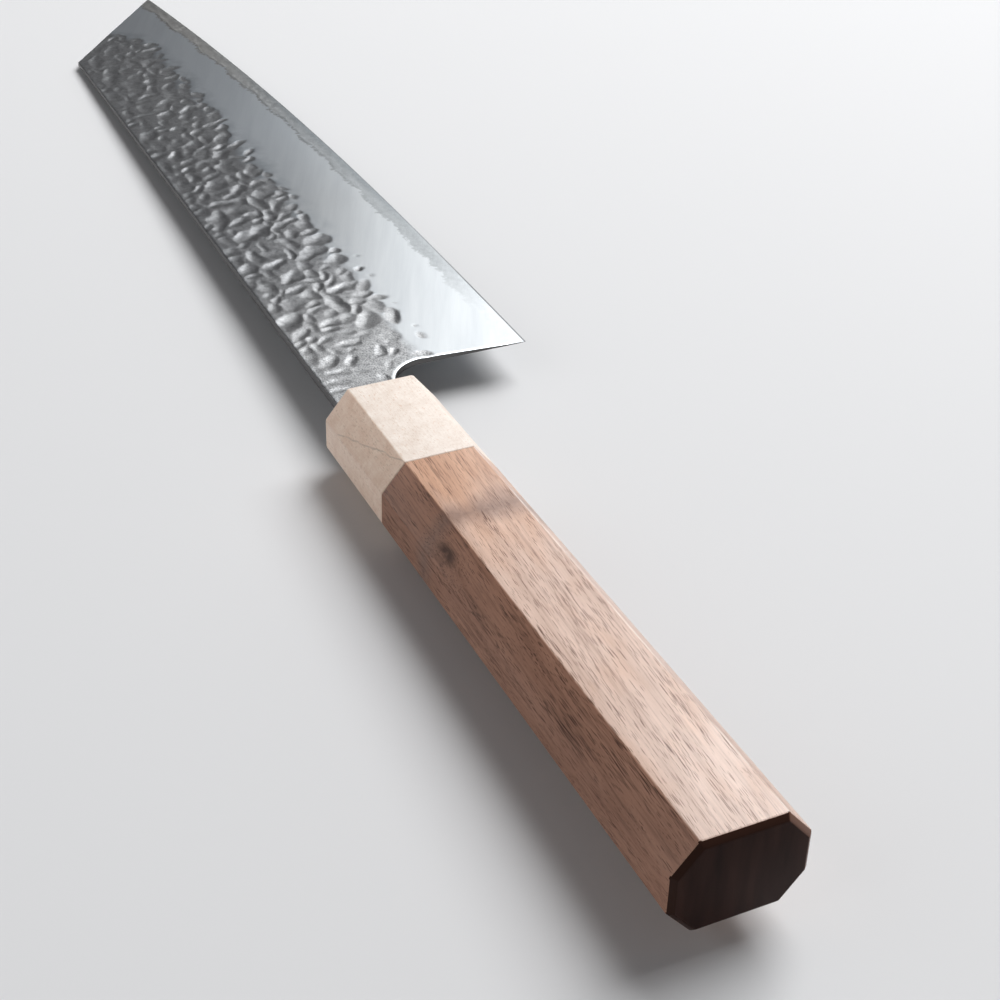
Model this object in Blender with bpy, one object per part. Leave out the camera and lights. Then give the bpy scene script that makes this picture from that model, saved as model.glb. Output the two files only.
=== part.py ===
"""Kiritsuke knife: a laminated, hammered blade on an octagonal handle of two woods.

The knife lies on its left cheek: the tip points to +X, the spine to +Y and the right face up.
The drawing's own zero is where the handle's axis meets the ferrule's front. Sizes are in metres.
"""

import math
import random

import bmesh
import bpy
from mathutils import Vector
from mathutils.geometry import delaunay_2d_cdt

# Blade outline, measured from the handle's axis and the ferrule's front
blade_length = 0.2390
heel_reach = 0.0178
heel_drop = 0.0422
tip_drop = 0.0292
belly_power = 2.6
spine_rise = 0.0066
spine_fall = 0.0017
clip_length = 0.0441
neck_drop = 0.0083
choil_radius = 0.0093
choil_lean = 0.0011

# Blade thickness and grind
spine_thickness = 0.0022
clip_thickness = 0.0013
forged_taper = 0.40
core_thickness = 0.00044
edge_thickness = 0.00030
edge_bevel_height = 0.0006
shoulder_drop = 0.0175
grind_power = 0.75
tip_grind_length = 0.0400
tip_grind_climb = 0.0700
eased_width = 0.00040
eased_depth = 0.00018

# Line where the grind cuts through the cladding and shows the core
core_line_rise = 0.0037
core_line_wave = 0.0005
core_line_pitch = 0.0130
core_line_ripple = 0.6
core_line_beat = 1.7
least_cladding = 0.00005

# Hammer dents on the cladding
hammer_start = 0.0105
hammer_overrun = 0.0030
dent_length = 0.0056
dent_width = 0.0032
dent_depth = 0.00024
dent_length_range = (0.70, 1.30)
dent_width_range = (0.75, 1.20)
dent_depth_range = (0.70, 1.00)
dent_slant = -50.0
dent_slant_spread = 35.0
dent_spacing = 0.98
dents_a_side = 210
throws_a_dent = 60

# Tang, hidden in the handle
neck_seat = 0.0060
tang_length = 0.0950
tang_height = 0.0110
tang_end_height = 0.0060

# Handle
ferrule_length = 0.0300
body_length = 0.1130
handle_thickness = 0.0188
front_height = 0.0242
butt_height = 0.0252
front_chamfer = (0.0050, 0.0062)
butt_chamfer = (0.0047, 0.0056)
butt_bevel = 0.0010
mouth_bevel = 0.0004
front_wall = 0.0080
dowel_wall = 0.0011
dowel_past_tang = 0.0040
dowel_lead = 0.0008
resin_wall = 0.00035
resin_recess = 0.0003
glue_gap = 0.0001

# How finely curves are drawn
belly_steps = 96
arc_steps = 10
grind_rows = 3
grind_pitch = 0.0100
dent_rim_points = 7
dent_bowl_points = 4
dent_bowl_share = 0.5
dowel_sides = 40
crease_angle = math.radians(30)

# Working allowances
cutter_overrun = 0.0010
mitre_limit = 0.5
halvings = 40
merge_distance = 1e-7
mirror_merge_distance = 1e-6

tip_x = heel_reach + blade_length
corner_x = tip_x - clip_length
corner_y = spine_rise - spine_fall
choil_x = heel_reach + choil_lean
handle_length = ferrule_length + body_length
half_neck = spine_thickness / 2
half_core = core_thickness / 2


def clear_scene():
    for old in list(bpy.data.objects):
        bpy.data.objects.remove(old, do_unlink=True)


def new_material(name, colour, roughness, metallic):
    material = bpy.data.materials.new(name)
    material.use_nodes = True
    shader = material.node_tree.nodes["Principled BSDF"]
    shader.inputs["Base Color"].default_value = (*colour, 1.0)
    shader.inputs["Roughness"].default_value = roughness
    shader.inputs["Metallic"].default_value = metallic
    material.diffuse_color = (*colour, 1.0)
    return material


def new_object(name, bm, material=None):
    """Puts a finished mesh in the scene, hung on the empty that centres the knife."""
    mesh = bpy.data.meshes.new(name)
    bm.to_mesh(mesh)
    bm.free()
    mesh.shade_smooth()
    mesh.set_sharp_from_angle(angle=crease_angle)
    obj = bpy.data.objects.new(name, mesh)
    bpy.context.scene.collection.objects.link(obj)
    obj.parent = bpy.data.objects["knife"]
    if material:
        mesh.materials.append(material)
    return obj


def combine(obj, cutter, operation):
    """Joins or cuts with a helper, which stays in the file as a wire and is never rendered."""
    cutter.hide_render = True
    cutter.display_type = "WIRE"
    modifier = obj.modifiers.new(f"{operation.lower()} {cutter.name}", "BOOLEAN")
    modifier.operation = operation
    modifier.solver = "EXACT"
    modifier.object = cutter


# Lines of the blade seen from its right side


def spine_y(x):
    return spine_rise - spine_fall * max(x, 0.0) / corner_x


def clip_y(x):
    return corner_y - (corner_y + tip_drop) * (x - corner_x) / clip_length


def edge_y(x):
    along = min(max((x - heel_reach) / blade_length, 0.0), 1.0)
    return -heel_drop + (heel_drop - tip_drop) * along**belly_power


def core_line_y(x):
    """Wavy lower margin of the cladding, a few millimetres above the cutting edge."""
    turn = 2 * math.pi * (x - heel_reach) / core_line_pitch
    wave = math.sin(turn) + core_line_ripple * math.sin(core_line_beat * turn + 1.0)
    return edge_y(x) + core_line_rise + core_line_wave * wave


def choil_at(y):
    """X of the choil's straight run, between the heel and the arc under the neck."""
    arc_y = -neck_drop - choil_radius
    return heel_reach + choil_lean * (y + heel_drop) / (arc_y + heel_drop)


def meeting(curve):
    """X where a curve near the cutting edge runs out through the clip."""
    low, high = corner_x, tip_x
    for _ in range(halvings):
        middle = (low + high) / 2
        if curve(middle) < clip_y(middle):
            low = middle
        else:
            high = middle
    return low


# Half thickness of the blade on one side


def shoulder_y(x):
    """Top of the grind: level with the handle's axis, then up in a curve to the clip."""
    near_tip = max(0.0, 1.0 - (tip_x - x) / tip_grind_length)
    return -shoulder_drop + tip_grind_climb * near_tip**2


def forged_half(x, y):
    """The forged flank before grinding: thins towards the tip and a little towards the edge."""
    along = min(max(x / corner_x, 0.0), 1.0)
    at_spine = half_neck + (clip_thickness / 2 - half_neck) * along
    depth = (spine_y(x) - y) / (spine_rise + heel_drop)
    onset = min(max(x / heel_reach, 0.0), 1.0)
    return at_spine * (1.0 - forged_taper * depth * onset)


def ground_half(x, y):
    """The ground bevel: a convex flank from the shoulder down, then the small edge bevel."""
    rise = y - edge_y(x)
    half_edge = edge_thickness / 2
    if rise <= edge_bevel_height:
        return half_edge * max(rise, 0.0) / edge_bevel_height
    shoulder = shoulder_y(x)
    share = (rise - edge_bevel_height) / (shoulder - edge_y(x) - edge_bevel_height)
    return half_edge + (forged_half(x, shoulder) - half_edge) * share**grind_power


def flank(x, y, dents=()):
    forged = forged_half(x, y) - max((dent.depth_at(x, y) for dent in dents), default=0.0)
    if x < choil_x - choil_radius:
        return forged
    return min(forged, ground_half(x, y))


# Hammer dents: shallow oval hollows, seeded so that every run gives the same blade


class Dent:
    def __init__(self, rng, x, y):
        self.x, self.y = x, y
        self.angle = math.radians(rng.gauss(dent_slant, dent_slant_spread))
        self.half_length = dent_length / 2 * rng.uniform(*dent_length_range)
        self.half_width = dent_width / 2 * rng.uniform(*dent_width_range)
        thinning = forged_half(x, y) / half_neck
        self.depth = dent_depth * rng.uniform(*dent_depth_range) * thinning

    def point(self, turn, share):
        """A point in the hollow, at a turn round it and a share of the way out to its rim."""
        along = self.half_length * share * math.cos(turn)
        across = self.half_width * share * math.sin(turn)
        cosine, sine = math.cos(self.angle), math.sin(self.angle)
        return (self.x + along * cosine - across * sine, self.y + along * sine + across * cosine)

    def depth_at(self, x, y):
        offset_x, offset_y = x - self.x, y - self.y
        cosine, sine = math.cos(self.angle), math.sin(self.angle)
        along = (offset_x * cosine + offset_y * sine) / self.half_length
        across = (offset_y * cosine - offset_x * sine) / self.half_width
        return self.depth * max(0.0, 1.0 - along * along - across * across)

    def reach(self):
        return math.sqrt(self.half_length * self.half_width)

    def clears(self, other):
        apart = math.hypot(self.x - other.x, self.y - other.y)
        return apart > dent_spacing * (self.reach() + other.reach())


def strike_dents(seed):
    """Throws dents at the forged flat until it is full, keeping those that have room."""
    rng = random.Random(seed)
    margin = dent_length / 2
    dents = []
    for _ in range(throws_a_dent * dents_a_side):
        x = rng.uniform(hammer_start + margin, tip_x - margin)
        y = rng.uniform(shoulder_y(x) - hammer_overrun, spine_rise)
        top = min(spine_y(x), clip_y(x)) - margin
        if y > top or len(dents) == dents_a_side:
            continue
        dent = Dent(rng, x, y)
        if all(dent.clears(other) for other in dents):
            dents.append(dent)
    return dents


# Outlines, anticlockwise as seen from above


def tang_profile(grow=0.0):
    """Half outline of the tang from its rounded end to the neck: distance from the axis by X."""
    radius = tang_end_height / 2 + grow
    centre_x = -tang_length + tang_end_height / 2
    points = []
    for step in range(arc_steps + 1):
        turn = math.pi / 2 * step / arc_steps
        points.append((centre_x - radius * math.cos(turn), radius * math.sin(turn)))
    points.append((-neck_seat - grow, tang_height / 2 + grow))
    return points


def belly_stations(curve):
    """X of the points along the blade's lower side, from the choil to the clip."""
    first, last = choil_at(curve(heel_reach)), meeting(curve)
    return [first + (last - first) * step / belly_steps for step in range(belly_steps + 1)]


def blank_outline():
    """The cladding's outline: tang, neck, choil, wavy lower margin, clip and spine."""
    lower_tang = [(x, -y) for x, y in tang_profile()]
    neck = [(-neck_seat, -neck_drop)]
    arc = []
    for step in range(arc_steps + 1):
        turn = math.pi / 2 * (1 - step / arc_steps)
        centre_x, centre_y = choil_x - choil_radius, -neck_drop - choil_radius
        arc.append((centre_x + choil_radius * math.cos(turn), centre_y + choil_radius * math.sin(turn)))
    margin = [(x, core_line_y(x)) for x in belly_stations(core_line_y)]
    spine = [(corner_x, corner_y), (0.0, spine_rise), (-neck_seat, spine_rise)]
    upper_tang = [(x, y) for x, y in reversed(tang_profile())]
    return lower_tang + neck + arc + margin + spine + upper_tang[:-1]


def on_free_rim(x, y):
    """True on the rim that shows: spine, clip, choil and neck, but not the core line."""
    return x > 0.0 and y > core_line_y(x) + core_line_wave / 10


def inset_outline(outline):
    """The outline drawn in by the eased rim's width, with one point for each of its own."""
    inner = []
    for index, point in enumerate(outline):
        before = Vector(outline[index - 1])
        here = Vector(point)
        after = Vector(outline[(index + 1) % len(outline)])
        into = (here - before).normalized() + (after - here).normalized()
        normal = Vector((-into.y, into.x)).normalized()
        stretch = abs(normal.dot(Vector((-(after - here).y, (after - here).x)).normalized()))
        inner.append(tuple(here + normal * eased_width / max(stretch, mitre_limit)))
    return inner


def inside(point, outline):
    """Even and odd crossings of the outline to the point's right."""
    x, y = point
    odd = False
    for index, (ax, ay) in enumerate(outline):
        bx, by = outline[index - 1]
        if (ay > y) != (by > y) and x < (bx - ax) * (y - ay) / (by - ay) + ax:
            odd = not odd
    return odd


# Pieces


def cladding(name, side, seed, material):
    """One outer layer of the blade: a flat inner face, and a hammered and ground outer one."""
    outline = blank_outline()
    inner = inset_outline(outline)
    dents = strike_dents(seed)
    spots = []
    for dent in dents:
        for step in range(dent_rim_points):
            spots.append(dent.point(2 * math.pi * step / dent_rim_points, 1.0))
        for step in range(dent_bowl_points):
            spots.append(dent.point(2 * math.pi * (step + 0.5) / dent_bowl_points, dent_bowl_share))
    columns = int(blade_length / grind_pitch)
    for column in range(1, columns):
        x = choil_x + (tip_x - choil_x) * column / columns
        for row in range(1, grind_rows + 1):
            share = row / (grind_rows + 1)
            low = core_line_y(x)
            spots.append((x, low + (shoulder_y(x) - low) * share))
    spots = [spot for spot in spots if inside(spot, inner)]
    count = len(outline)
    loops = [(i, (i + 1) % count) for i in range(count)]
    loops += [(count + i, count + (i + 1) % count) for i in range(count)]
    places = [Vector(point) for point in outline + inner + spots]
    found = delaunay_2d_cdt(places, loops, [], 1, merge_distance)
    bm = bmesh.new()
    verts = []
    for place, origins in zip(found[0], found[3]):
        height = flank(place.x, place.y, dents)
        if any(index < count for index in origins) and on_free_rim(place.x, place.y):
            height -= eased_depth
        height = max(height, half_core + least_cladding)
        verts.append(bm.verts.new((place.x, place.y, side * height)))
    for face in found[2]:
        bm.faces.new([verts[index] for index in face])
    rim = [edge for edge in bm.edges if edge.is_boundary]
    skirt = bmesh.ops.extrude_edge_only(bm, edges=rim)["geom"]
    for vert in (item for item in skirt if isinstance(item, bmesh.types.BMVert)):
        vert.co.z = side * half_core
    bmesh.ops.holes_fill(bm, edges=[e for e in bm.edges if e.is_boundary], sides=0)
    bmesh.ops.recalc_face_normals(bm, faces=bm.faces)
    return new_object(name, bm, material)


def blade_core(material):
    """The hard middle layer: a flat sheet that swells into the bare strip along the edge."""
    bm = bmesh.new()
    stations = belly_stations(core_line_y)
    ends = belly_stations(edge_y)
    ends[-1] = tip_x
    strip = []
    for x, foot in zip(stations, ends):
        high = Vector((x, core_line_y(x)))
        low = Vector((foot, edge_y(foot)))
        share = edge_bevel_height / (high.y - low.y)
        middle = low.lerp(high, share)
        column = [bm.verts.new((high.x, high.y, half_core))]
        for place in (high, middle, low):
            column.append(bm.verts.new((place.x, place.y, flank(place.x, place.y))))
        strip.append(column)
    for left, right in zip(strip, strip[1:]):
        for row in range(3):
            bm.faces.new((left[row], left[row + 1], right[row + 1], right[row]))
    outline = blank_outline()
    start = outline.index((stations[0], core_line_y(stations[0])))
    sheet = []
    for index, (x, y) in enumerate(outline):
        on_line = start <= index < start + len(stations)
        sheet.append(strip[index - start][0] if on_line else bm.verts.new((x, y, half_core)))
    bm.faces.new(sheet)
    rim = [edge for edge in bm.edges if edge.is_boundary]
    rim = [edge for edge in rim if max(abs(vert.co.z) for vert in edge.verts) > 0.0]
    skirt = bmesh.ops.extrude_edge_only(bm, edges=rim)["geom"]
    for vert in (item for item in skirt if isinstance(item, bmesh.types.BMVert)):
        vert.co.z = 0.0
    bmesh.ops.remove_doubles(bm, verts=bm.verts, dist=merge_distance)
    bmesh.ops.dissolve_degenerate(bm, dist=merge_distance, edges=bm.edges)
    bmesh.ops.recalc_face_normals(bm, faces=bm.faces)
    core = new_object("blade_core", bm, material)
    mirror = core.modifiers.new("other side", "MIRROR")
    mirror.use_axis = (False, False, True)
    mirror.merge_threshold = mirror_merge_distance
    return core


def octagon(height, thickness, chamfer):
    """Corners of the handle's section, as (y, z), with unlike legs to its chamfers."""
    half_y, half_z = height / 2, thickness / 2
    leg_y, leg_z = chamfer
    quarter = [(half_y, half_z - leg_z), (half_y - leg_y, half_z)]
    ring = quarter + [(-y, z) for y, z in reversed(quarter)]
    return ring + [(-y, -z) for y, z in ring]


def handle_section(x, inset=0.0):
    """The octagon at X between the front and the butt, drawn in by an inset on every side."""
    share = -x / handle_length
    height = front_height + (butt_height - front_height) * share
    legs = [front + (butt - front) * share for front, butt in zip(front_chamfer, butt_chamfer)]
    slope = math.hypot(*legs)
    trimmed = [leg - inset * (sum(legs) - slope) / other for leg, other in zip(legs, reversed(legs))]
    return octagon(height - 2 * inset, handle_thickness - 2 * inset, trimmed)


def lofted(rings):
    """A closed solid through like rings of (x, section)."""
    bm = bmesh.new()
    loops = [[bm.verts.new((x, y, z)) for y, z in section] for x, section in rings]
    for near, far in zip(loops, loops[1:]):
        for index in range(len(near)):
            bm.faces.new((near[index - 1], near[index], far[index], far[index - 1]))
    bm.faces.new(loops[0])
    bm.faces.new(list(reversed(loops[-1])))
    bmesh.ops.recalc_face_normals(bm, faces=bm.faces)
    return bm


def block(name, low, high, material=None):
    bm = bmesh.new()
    bmesh.ops.create_cube(bm, size=1.0)
    bmesh.ops.scale(bm, vec=Vector(high) - Vector(low), verts=bm.verts)
    bmesh.ops.translate(bm, vec=(Vector(high) + Vector(low)) / 2, verts=bm.verts)
    return new_object(name, bm, material)


def round_bar(name, back_x, front_x, radius, lead=0.0, material=None):
    """A round bar along X, with a lead chamfer on both ends if asked."""
    profile = [(back_x, radius - lead), (back_x + lead, radius), (front_x - lead, radius)]
    profile = profile + [(front_x, radius - lead)] if lead else [(back_x, radius), (front_x, radius)]
    turns = [2 * math.pi * side / dowel_sides for side in range(dowel_sides)]
    rings = []
    for x, reach in profile:
        rings.append((x, [(reach * math.cos(turn), reach * math.sin(turn)) for turn in turns]))
    return new_object(name, lofted(rings), material)


# Seats shared by the handle's pieces
slot_half_height = tang_height / 2 + resin_wall + glue_gap
slot_half_width = half_neck + resin_wall + glue_gap
dowel_radius = math.hypot(slot_half_height, slot_half_width) + dowel_wall
dowel_back = -tang_length - resin_wall - glue_gap - dowel_past_tang


def handle_body(material):
    rings = [
        (-ferrule_length, handle_section(-ferrule_length)),
        (butt_bevel - handle_length, handle_section(butt_bevel - handle_length)),
        (-handle_length, handle_section(-handle_length, butt_bevel)),
    ]
    body = new_object("handle_body", lofted(rings), material)
    bore = round_bar("body_bore", dowel_back - glue_gap, 0.0, dowel_radius + glue_gap)
    combine(body, bore, "DIFFERENCE")
    return body


def ferrule(material):
    rings = [
        (0.0, handle_section(0.0, mouth_bevel)),
        (-mouth_bevel, handle_section(-mouth_bevel)),
        (-ferrule_length, handle_section(-ferrule_length)),
    ]
    collar = new_object("ferrule", lofted(rings), material)
    bore_radius = dowel_radius + glue_gap
    bore = round_bar("ferrule_bore", -ferrule_length - cutter_overrun, -front_wall, bore_radius)
    combine(collar, bore, "DIFFERENCE")
    reach = resin_wall + glue_gap
    low = (-front_wall - glue_gap, -neck_drop - reach, -slot_half_width)
    slot = block("ferrule_slot", low, (cutter_overrun, spine_rise + reach, slot_half_width))
    combine(collar, slot, "DIFFERENCE")
    return collar


def handle_dowel(material):
    front = -front_wall - glue_gap
    dowel = round_bar("handle_dowel", dowel_back, front, dowel_radius, dowel_lead, material)
    low = (-tang_length - resin_wall - glue_gap, -slot_half_height, -slot_half_width)
    slot = block("dowel_slot", low, (0.0, slot_half_height, slot_half_width))
    combine(dowel, slot, "DIFFERENCE")
    return dowel


def tang_bedding(material):
    """Cured resin round the tang: a wide collar in the ferrule's slot, then a long sleeve."""
    half_width = half_neck + resin_wall
    low = (-front_wall, -neck_drop - resin_wall, -half_width)
    high = (-resin_recess, spine_rise + resin_wall, half_width)
    bedding = block("tang_bedding", low, high, material)
    half_height = tang_height / 2 + resin_wall
    low = (-tang_length - resin_wall, -half_height, -half_width)
    sleeve = block("resin_sleeve", low, (-front_wall / 2, half_height, half_width))
    combine(bedding, sleeve, "UNION")
    shoulder_x = -neck_seat - glue_gap
    neck_top, neck_foot = spine_rise + glue_gap, -neck_drop - glue_gap
    upper = tang_profile(glue_gap) + [(shoulder_x, neck_top), (cutter_overrun, neck_top)]
    lower = [(x, -y) for x, y in tang_profile(glue_gap)]
    lower += [(shoulder_x, neck_foot), (cutter_overrun, neck_foot)]
    outline = lower + upper[:0:-1]
    bm = bmesh.new()
    depth = half_neck + glue_gap
    face = bm.faces.new([bm.verts.new((x, y, -depth)) for x, y in outline])
    raised = bmesh.ops.extrude_face_region(bm, geom=[face])["geom"]
    for vert in (item for item in raised if isinstance(item, bmesh.types.BMVert)):
        vert.co.z = depth
    bmesh.ops.recalc_face_normals(bm, faces=bm.faces)
    combine(bedding, new_object("tang_space", bm), "DIFFERENCE")
    return bedding


clear_scene()
knife = bpy.data.objects.new("knife", None)
bpy.context.scene.collection.objects.link(knife)
widest = max(front_height, butt_height) / 2
knife.location.x = -(tip_x - handle_length) / 2
knife.location.y = (heel_drop - widest) / 2
knife.location.z = handle_thickness / 2

forged_steel = new_material("forged soft steel", (0.30, 0.31, 0.32), 0.38, 1.0)
hard_steel = new_material("hard core steel", (0.52, 0.54, 0.55), 0.28, 1.0)
maple = new_material("pale maple", (0.80, 0.68, 0.53), 0.50, 0.0)
walnut = new_material("walnut", (0.26, 0.14, 0.09), 0.45, 0.0)
birch = new_material("birch dowel", (0.72, 0.58, 0.40), 0.60, 0.0)
resin = new_material("cured resin", (0.10, 0.07, 0.05), 0.30, 0.0)

blade_core(hard_steel)
cladding("cladding_right", 1, 7, forged_steel)
cladding("cladding_left", -1, 19, forged_steel)
ferrule(maple)
handle_body(walnut)
handle_dowel(birch)
tang_bedding(resin)
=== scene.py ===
"""Kiritsuke knife: the finished look of a laminated, hammered blade on a handle of two woods.

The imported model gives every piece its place. Each section below makes one piece of the knife, in the
order in which it is put together: the blade's three layers, the dowel and resin that hold it, the woods.
"""

import math
import random

import bpy
import numpy as np
from mathutils import Matrix, Vector


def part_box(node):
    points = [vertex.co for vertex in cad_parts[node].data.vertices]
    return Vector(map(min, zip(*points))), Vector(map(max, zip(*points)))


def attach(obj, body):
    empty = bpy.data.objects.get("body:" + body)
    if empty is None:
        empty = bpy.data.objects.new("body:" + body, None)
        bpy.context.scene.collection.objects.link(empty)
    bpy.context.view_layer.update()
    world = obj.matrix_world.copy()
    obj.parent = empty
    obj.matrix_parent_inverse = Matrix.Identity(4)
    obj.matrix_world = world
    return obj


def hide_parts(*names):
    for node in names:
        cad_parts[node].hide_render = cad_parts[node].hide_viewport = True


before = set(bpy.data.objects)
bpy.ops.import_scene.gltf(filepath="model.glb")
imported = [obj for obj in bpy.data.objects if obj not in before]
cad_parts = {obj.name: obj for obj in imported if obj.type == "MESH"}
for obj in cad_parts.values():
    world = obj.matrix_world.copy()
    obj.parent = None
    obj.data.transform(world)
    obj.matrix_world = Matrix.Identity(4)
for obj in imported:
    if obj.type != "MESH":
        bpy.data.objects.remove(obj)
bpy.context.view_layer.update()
mm = 0.001

# Camera, table and light
# The camera looks along the knife from behind the butt. The table leans two degrees, because the
# knife rests on its ferrule and its tip, and the model keeps the handle level.

# Lengths are measured from the middle of the ferrule's front, on the handle's axis
ferrule_low, ferrule_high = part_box("ferrule")
zero = Vector((ferrule_high.x, (ferrule_low.y + ferrule_high.y) / 2, (ferrule_low.z + ferrule_high.z) / 2))

camera_place = Vector((-317.3, 129.8, 211.5)) * mm
camera_turns = (56.005, -1.445, -115.490)
camera_lens = 70.2
camera_film = 36.0
bpy.ops.object.camera_add(location=zero + camera_place)
camera = bpy.context.active_object
camera.rotation_euler = [math.radians(turn) for turn in camera_turns]
camera.data.lens = camera_lens
camera.data.sensor_width = camera_film
camera.data.clip_start = 10 * mm
bpy.context.scene.camera = camera

table_side = 60.0
table_colour = (0.68, 0.685, 0.695, 1)
blade_low, blade_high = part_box("blade_core")
tip_height = (blade_low.z + blade_high.z) / 2
table_lean = math.atan2(tip_height, blade_high.x - zero.x)
bpy.ops.object.select_all(action="DESELECT")
bpy.ops.mesh.primitive_plane_add(size=table_side, location=(zero.x, zero.y, 0), rotation=(0, -table_lean, 0))
table = bpy.context.active_object
table.name = "table"
bpy.ops.object.transform_apply(location=True, rotation=True, scale=True)
table_finish = bpy.data.materials.new("pale matt table")
table_finish.use_nodes = True
table_sockets = table_finish.node_tree.nodes["Principled BSDF"].inputs
table_sockets["Base Color"].default_value = table_colour
table_sockets["Roughness"].default_value = 0.8
table_sockets["Specular IOR Level"].default_value = 0.2
table.data.materials.append(table_finish)


def softbox(name, bearing, height, distance, width, depth, watts):
    """A soft lamp that looks at the knife from a bearing round +Z and a height, both in degrees."""
    bearing, height = math.radians(bearing), math.radians(height)
    level = math.cos(height)
    place = Vector((level * math.cos(bearing), level * math.sin(bearing), math.sin(height)))
    bpy.ops.object.light_add(type="AREA", location=place * distance)
    lamp = bpy.context.active_object
    lamp.name = name
    lamp.rotation_euler = place.to_track_quat("Z", "Y").to_euler()
    lamp.data.shape = "RECTANGLE"
    lamp.data.size, lamp.data.size_y = width, depth
    lamp.data.energy = watts


softbox("window beside the table", bearing=-70, height=56, distance=1.6, width=1.1, depth=1.1, watts=30.5)
softbox("window beyond the tip", bearing=-40.5, height=27, distance=2.0, width=1.1, depth=1.6, watts=9.4)
softbox("white wall behind the spine", bearing=88, height=29, distance=2.0, width=1.6, depth=1.6, watts=6.5)


def put(tree, kind, inputs=None, **options):
    """Adds a shader node, sets its options, and fills its inputs with values or other nodes' outputs."""
    node = tree.nodes.new("ShaderNode" + kind)
    for option, value in options.items():
        setattr(node, option, value)
    for socket, value in (inputs or {}).items():
        if isinstance(value, bpy.types.NodeSocket):
            tree.links.new(value, node.inputs[socket])
        else:
            node.inputs[socket].default_value = value
    return node


def maths(tree, operation, first, second=0.0, third=0.0):
    """A Math node's result."""
    return put(tree, "Math", {0: first, 1: second, 2: third}, operation=operation).outputs[0]


def product(tree, first, second):
    return maths(tree, "MULTIPLY", first, second)


def ranged(tree, value, low, high, at_low=0.0, at_high=1.0):
    """A value carried from one range to another and held at its ends."""
    return put(tree, "MapRange", {0: value, 1: low, 2: high, 3: at_low, 4: at_high}).outputs[0]


# The ceiling and the wall behind the butt are pale, and show only where the knife reflects them
room_level = 0.12
room_colour = (1.0, 0.98, 1.0, 1)
ceiling_level = 0.45
wall_level = 0.35
room = bpy.data.worlds.new("room")
room.use_nodes = True
sky = room.node_tree
toward = put(sky, "SeparateXYZ", {0: put(sky, "TexCoord").outputs["Generated"]}).outputs
ceiling = ranged(sky, toward[2], 0.90, 0.98, 0.0, ceiling_level)
wall = ranged(sky, toward[0], -0.15, -0.55, 0.0, wall_level)
reflected = put(sky, "LightPath").outputs["Is Glossy Ray"]
level = maths(sky, "MULTIPLY_ADD", reflected, maths(sky, "MAXIMUM", ceiling, wall), room_level)
sky.nodes["Background"].inputs["Color"].default_value = room_colour
sky.links.new(level, sky.nodes["Background"].inputs["Strength"])
bpy.context.scene.world = room
bpy.context.scene.view_settings.view_transform = "Standard"

# Blade core
# The middle layer of the blade is hard carbon steel, forge welded between two softer ones. It shows
# where the grind has cut through to it, as a strip along the edge, and as a thin line all round.

blade_length = 239.0 * mm
heel_reach = 17.8 * mm
heel_drop = 42.2 * mm
tip_drop = 29.2 * mm
belly_power = 2.6
spine_rise = 6.6 * mm
spine_fall = 1.7 * mm
clip_length = 44.1 * mm
neck_drop = 8.3 * mm
neck_seat = 6.0 * mm
choil_radius = 9.3 * mm
choil_lean = 1.1 * mm
tip_x = heel_reach + blade_length
corner_x = tip_x - clip_length
corner_y = spine_rise - spine_fall
arc_x, arc_y = heel_reach + choil_lean - choil_radius, -neck_drop - choil_radius

# Half thicknesses, and the grind
half_neck = 1.1 * mm
half_clip = 0.65 * mm
half_core = 0.10 * mm
half_edge = 0.04 * mm
forged_taper = 0.40
edge_bevel_height = 0.4 * mm
shoulder_drop = 17.5 * mm
grind_power = 0.75
tip_grind_length = 40.0 * mm
tip_grind_climb = 70.0 * mm
strip_height = 3.8 * mm
wave_pitch = 23.0 * mm
wave_height = 0.42 * mm

# Tang, in millimetres: places along the axis and half heights, from the neck's end to its rounded end
tang_profile = [(-6.0, 5.5), (-92.0, 3.0), (-93.5, 2.6), (-94.6, 1.5), (-95.0, 0.5)]

# How finely the meshes are divided, and how wide and deep their rims are rounded
flank_columns = 610
rim_width = 0.35 * mm
choil_rim = 0.80 * mm
rim_depth = 0.22 * mm
strip_shares = np.array([0.0, 0.10, 0.13, 0.22, 0.35, 0.55, 0.78, 1.0])
arc_steps = 40
settling_rounds = 60
merge_distance = 1e-7
wide_merge_distance = 1e-6

# Heights that the materials read are kept at the meshes' points in this unit
height_unit = 10 * mm


def spine_y(x):
    return spine_rise - spine_fall * np.maximum(x, 0.0) / corner_x


def clip_y(x):
    return corner_y - (corner_y + tip_drop) * (x - corner_x) / clip_length


def clip_x(y):
    return corner_x + clip_length * (corner_y - y) / (corner_y + tip_drop)


def edge_y(x):
    along = np.clip((x - heel_reach) / blade_length, 0.0, 1.0)
    return -heel_drop + (heel_drop - tip_drop) * along**belly_power


def core_line_y(x):
    """The wavy lower margin of the cladding, where the grind has cut through to the core."""
    turn = 2 * math.pi * (x - heel_reach) / wave_pitch
    wave = np.sin(turn) + 0.7 * np.sin(2.3 * turn + 1.0)
    wave = wave + 0.35 * np.sin(6.1 * turn + 2.0 * np.sin(1.3 * turn))
    flame = 0.22 * np.sin(13.7 * turn + 1.7 * np.sin(2.9 * turn)) + 0.12 * np.sin(31.0 * turn)
    return edge_y(x) + strip_height + wave_height * (wave + flame)


def choil_x(y):
    """The blade's back rim: straight up from the heel, then an arc that runs out under the neck."""
    straight = heel_reach + choil_lean * (y + heel_drop) / (arc_y + heel_drop)
    in_arc = np.clip(y - arc_y, 0.0, choil_radius)
    return np.where(y < arc_y, straight, arc_x + np.sqrt(choil_radius**2 - in_arc**2))


def shoulder_y(x):
    """Top of the grind: parallel to the handle's axis, then up in a curve to the clip."""
    near_tip = np.maximum(0.0, 1.0 - (tip_x - x) / tip_grind_length)
    return -shoulder_drop + tip_grind_climb * near_tip**2


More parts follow.
